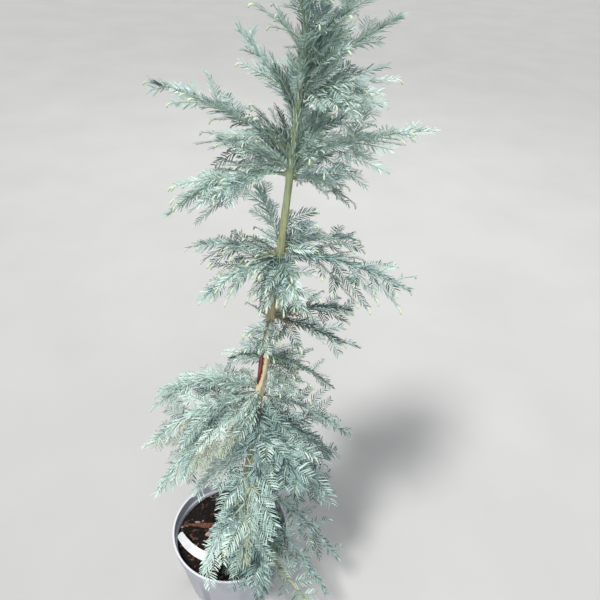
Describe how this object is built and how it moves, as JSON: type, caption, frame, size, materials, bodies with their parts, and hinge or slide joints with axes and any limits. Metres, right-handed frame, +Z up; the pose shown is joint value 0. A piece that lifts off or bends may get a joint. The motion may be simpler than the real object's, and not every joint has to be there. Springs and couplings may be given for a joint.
{
  "type": "potted coast redwood tree",
  "caption": "Young blue-leaved coast redwood with a leaning stem, tiered weeping limbs and feather-like needles, in a round nursery pot.",
  "frame": {"origin": "centre of the pot's flat underside", "axes": "+Z up along the stem, +Y away from the picture's viewer, +X to the viewer's right, the way the stem leans"},
  "size_m": [0.4419, 0.3152, 1.5024],
  "materials": {
    "pot": "moulded, light lavender grey, low sheen",
    "compost": "dark fibrous compost with reddish bark chips",
    "label": "blank white plastic strip",
    "bark": "thin fibrous bark, green at the top and orange brown lower down",
    "needles": "waxy blue-green needles with pale new tips"
  },
  "bodies": {
    "root": {"bough_foot_right": "bark", "bough_gap_right_back": "bark", "bough_middle_left": "bark", "bough_middle_right": "bark", "bough_rising_right": "bark", "bough_upper_left_long": "bark", "bough_upper_left_weeping": "bark", "bough_upper_right_long": "bark", "bough_weeping_left": "bark", "bough_weeping_left_back": "bark", "bough_weeping_left_front": "bark", "compost": "compost", "foliage_crown_back": "needles", "foliage_crown_front": "needles", "foliage_crown_left": "needles", "foliage_crown_right": "needles", "foliage_foot_back_right": "needles", "foliage_foot_front": "needles", "foliage_foot_front_left": "needles", "foliage_foot_front_right": "needles", "foliage_foot_right": "needles", "foliage_gap_back": "needles", "foliage_gap_front": "needles", "foliage_gap_right": "needles", "foliage_gap_right_back": "needles", "foliage_leader": "needles", "foliage_lower_front": "needles", "foliage_lower_front_right": "needles", "foliage_lower_right": "needles", "foliage_middle_back": "needles", "foliage_middle_front": "needles", "foliage_middle_left": "needles", "foliage_middle_left_low": "needles", "foliage_middle_right": "needles", "foliage_middle_right_back": "needles", "foliage_rising_back": "needles", "foliage_rising_front": "needles", "foliage_rising_left": "needles", "foliage_rising_right": "needles", "foliage_rising_right_steep": "needles", "foliage_skirt_back": "needles", "foliage_skirt_front": "needles", "foliage_skirt_left": "needles", "foliage_skirt_right": "needles", "foliage_sparse_back_right": "needles", "foliage_sparse_left": "needles", "foliage_sparse_right": "needles", "foliage_upper_back_left": "needles", "foliage_upper_back_right": "needles", "foliage_upper_left_long": "needles", "foliage_upper_left_weeping": "needles", "foliage_upper_right_long": "needles", "foliage_upper_right_mid": "needles", "foliage_weeping_left": "needles", "foliage_weeping_left_back": "needles", "foliage_weeping_left_front": "needles", "foliage_weeping_right": "needles", "plant_label": "label", "pot": "pot", "trunk": "bark"}
  },
  "joints": []
}
